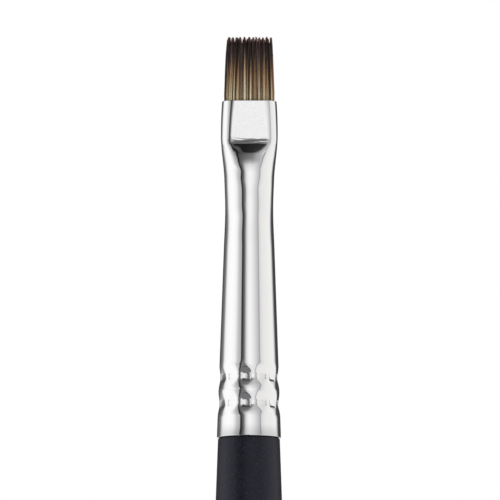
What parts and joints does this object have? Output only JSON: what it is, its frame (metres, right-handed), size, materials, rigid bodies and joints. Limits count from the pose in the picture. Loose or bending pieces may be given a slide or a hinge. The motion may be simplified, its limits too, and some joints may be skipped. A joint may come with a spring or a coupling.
{
  "type": "lash serum brush",
  "caption": "Slim round-handled brush with a short flat tuft of two-tone filaments in a bright metal ferrule, pressed flat at its mouth and crimped to the handle.",
  "frame": {"origin": "centre of the small flat on the handle's butt, the lowest point with the tuft up", "axes": "+Z along the brush from butt to tuft; the ferrule's pressed flats face -Y and +Y; +X across the tuft"},
  "size_m": [0.0074, 0.0074, 0.1651],
  "materials": {
    "black_lacquer": "satin black lacquer on wood",
    "bright_nickel": "polished nickel plate",
    "filament": "fine streaks, pale olive and tan at the root, near black at the tips",
    "epoxy": "cast amber resin",
    "thread": "undyed cotton",
    "glue": "cured glue"
  },
  "bodies": {
    "root": {"handle": "black_lacquer", "ferrule": "bright_nickel", "bristle_tuft": "filament", "root_epoxy_plug": "epoxy", "tuft_tie_thread": "thread", "tenon_glue_ring": "glue"}
  },
  "joints": []
}
